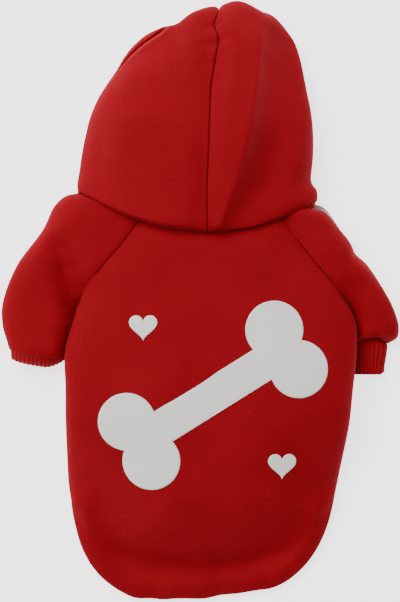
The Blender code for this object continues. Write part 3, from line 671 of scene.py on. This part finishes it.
# Sections of the hood from the neck to its far end, in shares of its length, width and height.
Hood = namedtuple("Hood", "seam nape top left left_reach right right_reach edge tuck rim lobe")
HOOD = (
    Hood(0.030, 1.0, 0.02, -0.540, 0.061, 0.453, -0.004, 0.24, 0.430, 0.000, 0.0),
    Hood(0.032, 1.0, 0.065, -0.542, 0.066, 0.456, 0.001, 0.24, 0.360, 0.010, 0.0),
    Hood(-0.035, 1.0, 0.036, -0.544, 0.071, 0.458, 0.007, 0.24, 0.290, 0.020, 0.0),
    Hood(-0.108, 1.0, 0.046, -0.546, 0.078, 0.462, 0.018, 0.25, 0.220, 0.033, 0.0),
    Hood(-0.134, 0.9, 0.146, -0.548, 0.086, 0.469, 0.034, 0.25, 0.165, 0.048, 0.0),
    Hood(-0.102, 0.0, 0.785, -0.549, 0.097, 0.466, 0.080, 0.25, 0.120, 0.075, 0.0),
    Hood(0.005, 0.0, 0.855, -0.547, 0.145, 0.443, 0.132, 0.25, 0.095, 0.130, 0.0),
    Hood(0.183, 0.0, 0.910, -0.532, 0.265, 0.450, 0.255, 0.25, 0.085, 0.260, 0.0),
    Hood(0.386, 0.0, 0.915, -0.504, 0.420, 0.445, 0.440, 0.24, 0.085, 0.420, 0.0),
    Hood(0.589, 0.0, 0.830, -0.456, 0.563, 0.424, 0.590, 0.23, 0.085, 0.560, 0.0),
    Hood(0.766, 0.0, 0.725, -0.388, 0.685, 0.401, 0.710, 0.21, 0.082, 0.670, 0.0),
    Hood(0.893, 0.0, 0.600, -0.328, 0.792, 0.368, 0.833, 0.19, 0.078, 0.740, 0.0),
    Hood(0.965, 0.0, 0.465, -0.250, 0.868, 0.310, 0.925, 0.17, 0.060, 0.800, 0.02),
    Hood(0.993, 0.0, 0.300, -0.142, 0.903, 0.260, 0.970, 0.13, 0.030, 0.840, 0.035),
    Hood(0.985, 0.0, 0.130, -0.100, 0.925, 0.215, 0.970, 0.05, 0.000, 0.865, 0.03),
    Hood(0.905, 0.0, 0.010, -0.050, 0.905, 0.170, 0.905, 0.00, -0.035, 0.880, 0.0),
)

# The crown seam wavers on its way to the far end. Place is its distance from the neck.
SEAM_WAVER = (
    Waver(-0.020, 0.0000),
    Waver(0.012, -0.0004),
    Waver(0.042, -0.0006),
    Waver(0.087, -0.0030),
    Waver(0.103, -0.0018),
    Waver(0.1135, -0.0008),
    Waver(0.124, 0.0008),
    Waver(0.1345, -0.0046),
    Waver(0.142, -0.0017),
    Waver(0.149, 0.0000),
)

# The sharp fold on the right of the crown, from the neck to the far end.
Ridge = namedtuple("Ridge", "along across")
CROWN_RIDGE = (
    Ridge(-0.030, 0.004),
    Ridge(-0.012, 0.011),
    Ridge(0.020, 0.023),
    Ridge(0.057, 0.032),
    Ridge(0.095, 0.038),
    Ridge(0.140, 0.041),
)

# The edge at the upper left where the crown lies folded over the rim behind it, in plan.
RIM_FOLD = (
    (-0.0735, 0.383),
    (-0.0670, 0.3935),
    (-0.0595, 0.4020),
    (-0.0505, 0.4100),
    (-0.0420, 0.4160),
    (-0.0340, 0.4215),
    (-0.0250, 0.4290),
)

# Small gathers beside the crown seam.
GATHERS = (
    Crease(0.0016, ((-0.011, 0.4108, 0.0), (-0.001, 0.4122, 0.0018), (0.0085, 0.4135, 0.0024))),
    Crease(0.0016, ((0.0095, 0.4150, 0.0020), (0.017, 0.4178, 0.0))),
    Crease(0.0022, ((0.0060, 0.4270, 0.0016), (-0.005, 0.4245, 0.0))),
    Crease(0.0020, ((0.0065, 0.3985, 0.0014), (-0.003, 0.3955, 0.0))),
    Crease(0.0030, ((0.0050, 0.3700, 0.0009), (-0.008, 0.3725, 0.0))),
    Crease(0.0026, ((0.0060, 0.3840, 0.0012), (0.017, 0.3865, 0.0))),
    Crease(0.0024, ((0.0080, 0.4040, 0.0010), (0.018, 0.4050, 0.0))),
)


def hood_swell(aside, along):
    """Height of the cloth beside the crown seam above the seam itself, whose groove fades at the neck."""
    wide = np.where(aside < 0, 0.0120, 0.0090)
    groove = 0.0010 * (0.15 + 0.85 * float(ease(along / 0.090)))
    return 0.0036 * (1 - np.exp(-((aside / wide) ** 2))) + groove * (1 - np.exp(-np.abs(aside) / 0.0010))


def rim_step(x, y):
    """How far the cloth lies below the crown at and behind the folded edge at the upper left."""
    fold = np.array(RIM_FOLD)
    behind = y - np.interp(x, fold[:, 0], fold[:, 1], left=1.0, right=1.0)
    behind *= 0.72
    shown = ease((x - fold[0, 0]) / 0.012) * ease((fold[-1, 0] - x) / 0.010)
    step = 0.0050 * ease((behind + 0.0004) / 0.0020)
    gap = 0.0045 * np.exp(-(((behind - 0.0013) / 0.0010) ** 2))
    lip = -0.0007 * np.exp(-(((behind + 0.0012) / 0.0014) ** 2))
    return (step + gap + lip) * shown


def crown_folds(x, along, rolled):
    """How much lower the crown's cloth lies because of its two long folds. Rolled is 0 to 1, past the
    roll at the neck."""
    ridge = np.array(CROWN_RIDGE)
    beyond = 0.95 * (x - np.interp(along, ridge[:, 0], ridge[:, 1]))
    ends = ease((along + 0.034) / 0.020) * ease((0.150 - along) / 0.030)
    fallen = 1 - np.exp(-np.maximum(beyond, 0) / 0.0120)
    right = 0.0180 * fallen * (1 - 0.50 * ease((beyond - 0.017) / 0.030))
    crest = -0.0010 * np.exp(-((beyond / 0.0065) ** 2))
    start, end = np.array((-0.0095, -0.0065)), np.array((-0.0830, 0.0800))
    way = (end - start) / np.linalg.norm(end - start)
    below = (x - start[0]) * -way[1] + (along - start[1]) * way[0]
    share = ((x - start[0]) * way[0] + (along - start[1]) * way[1]) / np.linalg.norm(end - start)
    left = 0.0150 * ease((below + 0.004) / 0.042) * ease((share + 0.10) / 0.35) * ease((1.15 - share) / 0.3)
    return (right * (0.5 + 0.5 * rolled) + crest) * ends + left * ease((0.075 - below) / 0.030) * rolled


def hood_row(side, u, v):
    """A hood panel's outside along one row, from the crown seam to the rim of the face opening."""
    nape = between(HOOD, "nape", v)
    far = between(HOOD, "seam", v)
    seam_height = nape * BODY[-1].crown * CHEST_HEIGHT + between(HOOD, "top", v) * HOOD_HEIGHT
    wide = between(HOOD, "left" if side < 0 else "right", v) * HOOD_WIDTH
    reach = between(HOOD, "left_reach" if side < 0 else "right_reach", v) * HOOD_LENGTH + BACK_LENGTH
    seam_along = far * HOOD_LENGTH + BACK_LENGTH
    waver = read_smooth(SEAM_WAVER, far * HOOD_LENGTH, 0.004) * float(ease((14.2 - v) / 1.0))
    seam = SEAM_LEAN * float(ease(far)) * HOOD_WIDTH + waver
    edge = max(between(HOOD, "edge", v), 0.0) * HOOD_HEIGHT
    lobe = between(HOOD, "lobe", v) * HOOD_LENGTH * (0.4 if side < 0 else 1.0)
    high = float(ease(1 - nape) * ease(between(HOOD, "top", v) / 0.5))
    t = np.sin(math.pi / 2 * np.minimum(u / SIDE_COLUMN, 1))
    x = seam + (wide - seam) * t
    bow = t ** (1.5 + 0.5 * float(ease((6.5 - v) / 1.5)))
    y = seam_along + (reach - seam_along) * bow + lobe * np.sin(math.pi * np.minimum(t * 1.15, 1))
    over = rounded(t, 2.6)
    rise = (seam_height - edge) * over
    folds = crown_folds(x, y - BACK_LENGTH, float(ease((v - 4.1) / 3.4))) * (1 - (1 - over) ** 2.5)
    rise += high * (hood_swell(x - seam, far * HOOD_LENGTH) * over - folds)
    z = edge + (np.maximum(rise, 0.0) if seam_height > edge else rise)
    roll = edge + (ROLL_TOP - edge) * over - ROLL_FALL * float(ease((v - 5.2) / 5.0))
    rolled = (z + roll + np.sqrt((z - roll) ** 2 + ROLL_SOFTNESS**2)) / 2 - 0.0014
    z = np.where(high > 0, rolled, z) * high + z * (1 - high)
    under = np.clip((u - SIDE_COLUMN) / (1 - SIDE_COLUMN), 0, 1)
    tuck = between(HOOD, "tuck", v) * HOOD_WIDTH
    rim = between(HOOD, "rim", v) * HOOD_LENGTH + BACK_LENGTH
    inward = tuck * under**1.3
    below = u > SIDE_COLUMN
    z = np.where(below, edge * turned_up(inward, min(HOOD_BEND, max(0.7 * tuck, 0.001))), z)
    x = np.where(below, wide - side * inward, x)
    y = np.where(below, reach + (rim - reach) * under, y)
    return np.stack([x, y, z], axis=-1)


def neck_ring(side, u):
    """The neck seam, from the nape over the shoulder to the throat."""
    sections = LEFT_SLEEVE if side < 0 else RIGHT_SLEEVE
    ring = np.empty((len(u), 3))
    for index, share in enumerate(u):
        under = (share - SIDE_COLUMN) / (1 - SIDE_COLUMN)
        if share < SIDE_COLUMN / 2:
            ring[index] = back_row(np.array([side * share / (SIDE_COLUMN / 2)]), 14)[0]
        elif share < SIDE_COLUMN:
            ring[index] = sleeve_row(sections, side, np.array([share / SIDE_COLUMN - 0.5]), 0)[0]
        elif under < 0.5:
            ring[index] = sleeve_row(sections, side, np.array([0.5 + under]), 0)[0]
        else:
            ring[index] = belly_row(np.array([side * (2 - 2 * under)]), 14)[0]
    return ring + np.array((0, 0.0003, 0))


# The seam allowance inside the crown seam, from its cut edge on: how far aside and how far inwards.
HOOD_ALLOWANCE = {
    -1: ((0.0045, 0.0052), (0.0012, 0.0048), (0.0, 0.0030)),
    1: ((0.0, 0.0028), (0.0, 0.0014)),
}
beside_seam = [0, 0.004, 0.009, 0.015]
to_side = np.linspace(0.023, SIDE_COLUMN, 66)
hood_across = np.concatenate([beside_seam, to_side, np.linspace(SIDE_COLUMN, 1, 22)[1:]])
for name, side in (("left", -1), ("right", 1)):
    first = hood_row(side, hood_across, 0)
    ring = neck_ring(side, hood_across)
    rows = [ring + (first - ring) * share for share in (0, 0.33, 0.66)]
    rows += [hood_row(side, hood_across, v) for v in np.linspace(0, len(HOOD) - 1, 126)]
    points = np.array(rows)
    points[:, 0, 0] += side * 0.00015
    upper = ease(np.linspace(0, 1, len(rows)) / 0.25)[:, None] * (hood_across < SIDE_COLUMN)
    # The far outline dips a little to the left of the crown seam.
    notch = np.exp(-(((points[..., 0] + 0.0235) / 0.008) ** 2)) * ease((points[..., 1] - 0.405) / 0.020)
    points[..., 1] -= 0.0034 * notch
    for width, route in GATHERS:
        points[..., 2] -= valley(points, route, width) * upper
    points[..., 2] -= rim_step(points[..., 0], points[..., 1]) * upper
    swell = 0.0006 * cloth_swells(points, 0.050, 9) + 0.00015 * cloth_swells(points, 0.018, 10)
    swell *= ease(np.linspace(0, 6, len(rows)))[:, None] * ease(hood_across / 0.05)
    facing = outward(points, flip=side < 0)
    points += facing * swell[..., None]
    inwards = -facing[:, :1] * (0, 1, 1)
    inwards /= np.linalg.norm(inwards, axis=-1, keepdims=True)
    turned = HOOD_ALLOWANCE[side]
    allowance = [points[:, :1] + (aside, 0, 0) + inwards * deep for aside, deep in turned]
    points = np.concatenate(allowance + [points], axis=1)
    panel = sew("hood_" + name + "_cloth", points, CLOTH, fleece, grain=len(turned), flip=side < 0)
    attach(panel, "root")
    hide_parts("hood_" + name)


# Neck tape. A white woven tape over the neck seam's inside, which shows past the right shoulder.
# It is widest at the neck, runs out along the shoulder and lies close above the table.
TAPE_CLOTH = 0.0008
TAPE_SHOWN = 0.0042
TAPE_HIDDEN = 0.0045
TAPE_LIFT = 0.0011
tape_weave = bpy.data.materials.new("white_tape_weave")
tape_weave.use_nodes = True
weave_nodes = tape_weave.node_tree
tape_shader = weave_nodes.nodes["Principled BSDF"]
tape_shader.inputs["Roughness"].default_value = 0.8
tape_shader.inputs["Specular IOR Level"].default_value = 0.2
threads = weave_nodes.nodes.new("ShaderNodeTexChecker")
threads.inputs["Scale"].default_value = 2500
threads.inputs["Color1"].default_value = (0.92, 0.92, 0.91, 1)
threads.inputs["Color2"].default_value = (0.80, 0.80, 0.80, 1)
cloth_place = weave_nodes.nodes.new("ShaderNodeUVMap")
cloth_place.uv_map = "knit"
weave_nodes.links.new(cloth_place.outputs[0], threads.inputs["Vector"])
weave_nodes.links.new(threads.outputs["Color"], tape_shader.inputs["Base Color"])
raised = weave_nodes.nodes.new("ShaderNodeBump")
raised.inputs["Distance"].default_value = 0.0001
weave_nodes.links.new(threads.outputs["Fac"], raised.inputs["Height"])
weave_nodes.links.new(raised.outputs[0], tape_shader.inputs["Normal"])
rows = []
for v in np.linspace(-0.14, 1, 68):
    station = 0.04 + max(v, 0.0) * 1.7
    here = sleeve_row(RIGHT_SLEEVE, 1, np.array([0.5]), station)[0][:2]
    ahead = sleeve_row(RIGHT_SLEEVE, 1, np.array([0.5]), station + 0.1)[0][:2]
    way = (ahead - here) / np.linalg.norm(ahead - here)
    here = here + way * min(v, 0.0) * 0.05
    aside = np.array((-way[1], way[0]))
    width = TAPE_SHOWN * (1 - max(v, 0.0)) ** 0.5 + TAPE_HIDDEN
    reach = width * np.linspace(0, 1, 14) - TAPE_HIDDEN
    rows.append([(*(here + aside * step), TAPE_LIFT) for step in reach])
tape = sew("neck_tape_weave", np.array(rows), TAPE_CLOTH, tape_weave, flip=True)
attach(tape, "root")
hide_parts("neck_tape")


# Print. Pale grey vinyl film, cut out and pressed on the back: a bone and two hearts. It follows
# the cloth, whose knit shows through it faintly.
BONE_LENGTH = 0.172
BONE_BAR = 0.013
BONE_KNOB = 0.0215
HEART_WIDTH = 0.021
PRINT_MIDDLE = np.array((0.004, 0.152))
PRINT_LEAN = 32  # degrees
PRINT_GAP = 0.00008  # between the film and the cloth
FILM = 0.0004
film_vinyl = bpy.data.materials.new("pale_grey_film")
film_vinyl.use_nodes = True
film_nodes = film_vinyl.node_tree
film_shader = film_nodes.nodes["Principled BSDF"]
film_shader.inputs["Roughness"].default_value = 0.48
film_shader.inputs["Specular IOR Level"].default_value = 0.35
film_place = film_nodes.nodes.new("ShaderNodeTexCoord")
grain = film_nodes.nodes.new("ShaderNodeTexNoise")
grain.inputs["Scale"].default_value = 1300
grain.inputs["Detail"].default_value = 3
film_nodes.links.new(film_place.outputs["Object"], grain.inputs["Vector"])
cloudy = film_nodes.nodes.new("ShaderNodeTexNoise")
cloudy.inputs["Scale"].default_value = 40
film_nodes.links.new(film_place.outputs["Object"], cloudy.inputs["Vector"])
tint = film_nodes.nodes.new("ShaderNodeValToRGB")
tint.color_ramp.elements[0].position = 0.3
tint.color_ramp.elements[1].position = 0.7
tint.color_ramp.elements[0].color = (0.78, 0.77, 0.74, 1)
tint.color_ramp.elements[1].color = (0.86, 0.85, 0.82, 1)
film_nodes.links.new(cloudy.outputs["Fac"], tint.inputs["Fac"])
film_nodes.links.new(tint.outputs["Color"], film_shader.inputs["Base Color"])
pressed = film_nodes.nodes.new("ShaderNodeBump")
pressed.inputs["Strength"].default_value = 0.4
pressed.inputs["Distance"].default_value = 0.00006
film_nodes.links.new(grain.outputs["Fac"], pressed.inputs["Height"])
film_nodes.links.new(pressed.outputs[0], film_shader.inputs["Normal"])


def arc(centre, radius, start, end, count):
    """Places along an arc, with its angles in degrees."""
    angles = np.radians(np.linspace(start, end, count))
    return [(centre[0] + radius * math.cos(a), centre[1] + radius * math.sin(a)) for a in angles]


def bone_outline():
    """A bone along X: two round knobs at each end, joined by a bar."""
    apart = 0.8 * BONE_KNOB
    cleft = math.degrees(math.asin(apart / BONE_KNOB))
    neck = math.degrees(math.asin((apart - BONE_BAR) / BONE_KNOB))
    upper_right = arc((BONE_LENGTH / 2 - BONE_KNOB, apart), BONE_KNOB, 180 + neck, -cleft, 44)
    lower_right = [(x, -y) for x, y in upper_right[-2::-1]]
    right = upper_right + lower_right
    return right + [(-x, -y) for x, y in right]


def heart_outline():
    """A heart with its tip down."""
    a = np.linspace(0, 2 * math.pi, 120, endpoint=False)
    scale = HEART_WIDTH / 32
    high = 13 * np.cos(a) - 5 * np.cos(2 * a) - 2 * np.cos(3 * a) - np.cos(4 * a)
    return list(zip(16 * np.sin(a) ** 3 * scale, high * scale))


back_places = [tuple(vertex.co) for vertex in back.data.vertices]
back_faces = [tuple(face.vertices) for face in back.data.polygons]
back_outside = BVHTree.FromPolygons(back_places, back_faces)


def press_film(name, node, outline, middle, lean):
    """Cuts a film to an outline and lays it on the back, with points all over so that it follows."""
    turn = math.radians(lean)
    edge = np.array(outline)
    low, high = edge.min(axis=0), edge.max(axis=0)
    inside = [(x, y) for x in np.arange(low[0], high[0], 0.0018) for y in np.arange(low[1], high[1], 0.0018)]
    loop = [(i, (i + 1) % len(edge)) for i in range(len(edge))]
    flat = [tuple(p) for p in edge] + inside
    flat, _, faces, _, _, _ = delaunay_2d_cdt(flat, loop, [], 1, 0.00001)
    placed = []
    for x, y in flat:
        x, y = x * math.cos(turn) - y * math.sin(turn), x * math.sin(turn) + y * math.cos(turn)
        x, y = x + middle[0] + HEM_MIDDLE[0], y + middle[1] + HEM_MIDDLE[1]
        hit, _, _, _ = back_outside.ray_cast((x, y, 1.0), (0, 0, -1))
        placed.append((x, y, hit.z + FILM + PRINT_GAP))
    mesh = bpy.data.meshes.new(name)
    mesh.from_pydata(placed, [], [tuple(f) for f in faces])
    mesh.materials.append(film_vinyl)
    film = bpy.data.objects.new(name, mesh)
    bpy.context.scene.collection.objects.link(film)
    if sum(face.normal.z for face in mesh.polygons) < 0:
        mesh.flip_normals()
    thicken(film, FILM)
    mesh.shade_smooth()
    film.select_set(False)
    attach(film, "root")
    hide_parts(node)


beside = 0.30 * BONE_LENGTH
press_film("bone_film", "print_bone", bone_outline(), PRINT_MIDDLE, PRINT_LEAN)
press_film("heart_film_left", "print_heart_left", heart_outline(), PRINT_MIDDLE + (-beside, beside), 0)
press_film("heart_film_right", "print_heart_right", heart_outline(), PRINT_MIDDLE + (beside, -beside), 0)


# Table, light and camera. The garment lies on a white light table and is seen from straight above
# through a long lens, under one broad soft light from its upper left.
bpy.ops.mesh.primitive_plane_add(size=8, location=(0, 0, 0))
table = bpy.context.object
table.name = "light_table"
table_top = bpy.data.materials.new("white_table_top")
table_top.use_nodes = True
table_shader = table_top.node_tree.nodes["Principled BSDF"]
table_shader.inputs["Base Color"].default_value = (0.95, 0.95, 0.95, 1)
table_shader.inputs["Roughness"].default_value = 0.9
table_shader.inputs["Emission Color"].default_value = (1, 1, 1, 1)
table_shader.inputs["Emission Strength"].default_value = 2.1
table.data.materials.append(table_top)

room = bpy.data.worlds.new("white_room")
bpy.context.scene.world = room
room.use_nodes = True
room.node_tree.nodes["Background"].inputs["Color"].default_value = (1, 1, 1, 1)
room.node_tree.nodes["Background"].inputs["Strength"].default_value = 0.50

softbox = bpy.data.lights.new("softbox", "AREA")
softbox.shape = "DISK"
softbox.size = 1.9
softbox.energy = 75
lamp = bpy.data.objects.new("softbox", softbox)
bpy.context.scene.collection.objects.link(lamp)
lamp.location = (-0.96, 1.12, 2.0)
lamp.rotation_euler = (-lamp.location).to_track_quat("-Z", "Y").to_euler()

LENS = 150
PICTURE_HEIGHT = 602 * 0.00075  # what the photograph shows, in metres
view = bpy.data.cameras.new("camera")
view.lens = LENS
view.sensor_width = 36
camera = bpy.data.objects.new("camera", view)
bpy.context.scene.collection.objects.link(camera)
camera.location = (0, -0.00105, LENS * PICTURE_HEIGHT / 36 + 0.016)
bpy.context.scene.camera = camera
